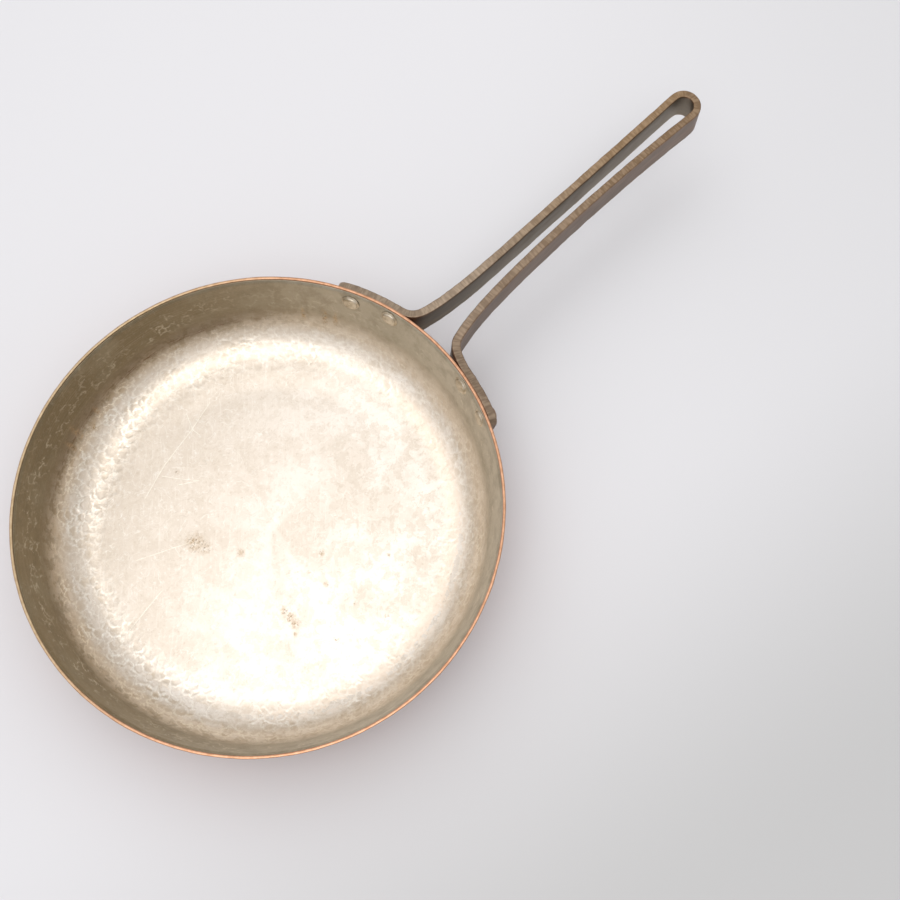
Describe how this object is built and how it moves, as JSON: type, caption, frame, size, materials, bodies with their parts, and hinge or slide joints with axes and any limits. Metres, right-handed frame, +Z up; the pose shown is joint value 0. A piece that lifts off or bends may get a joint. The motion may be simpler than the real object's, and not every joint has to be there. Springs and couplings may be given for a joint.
{
  "type": "tinned copper saucepan",
  "caption": "Shallow hand-hammered copper pan, tinned inside, with a long hairpin bar handle riveted to its wall.",
  "frame": {"origin": "centre of the pan's flat underside", "axes": "+Z up along the pan's axis, +X out along the handle"},
  "size_m": [0.4448, 0.245, 0.0546],
  "materials": {
    "copper": "hammered copper, worn satin",
    "tin": "wiped tin, hammered and dulled by use",
    "bronze": "forged bronze, brown patina",
    "rivet": "copper rivet, tinned over"
  },
  "bodies": {
    "root": {"copper_body": "copper", "tin_lining": "tin", "handle": "bronze", "rivet_left_outer": "rivet", "rivet_left_inner": "rivet", "rivet_right_inner": "rivet", "rivet_right_outer": "rivet"}
  },
  "joints": []
}
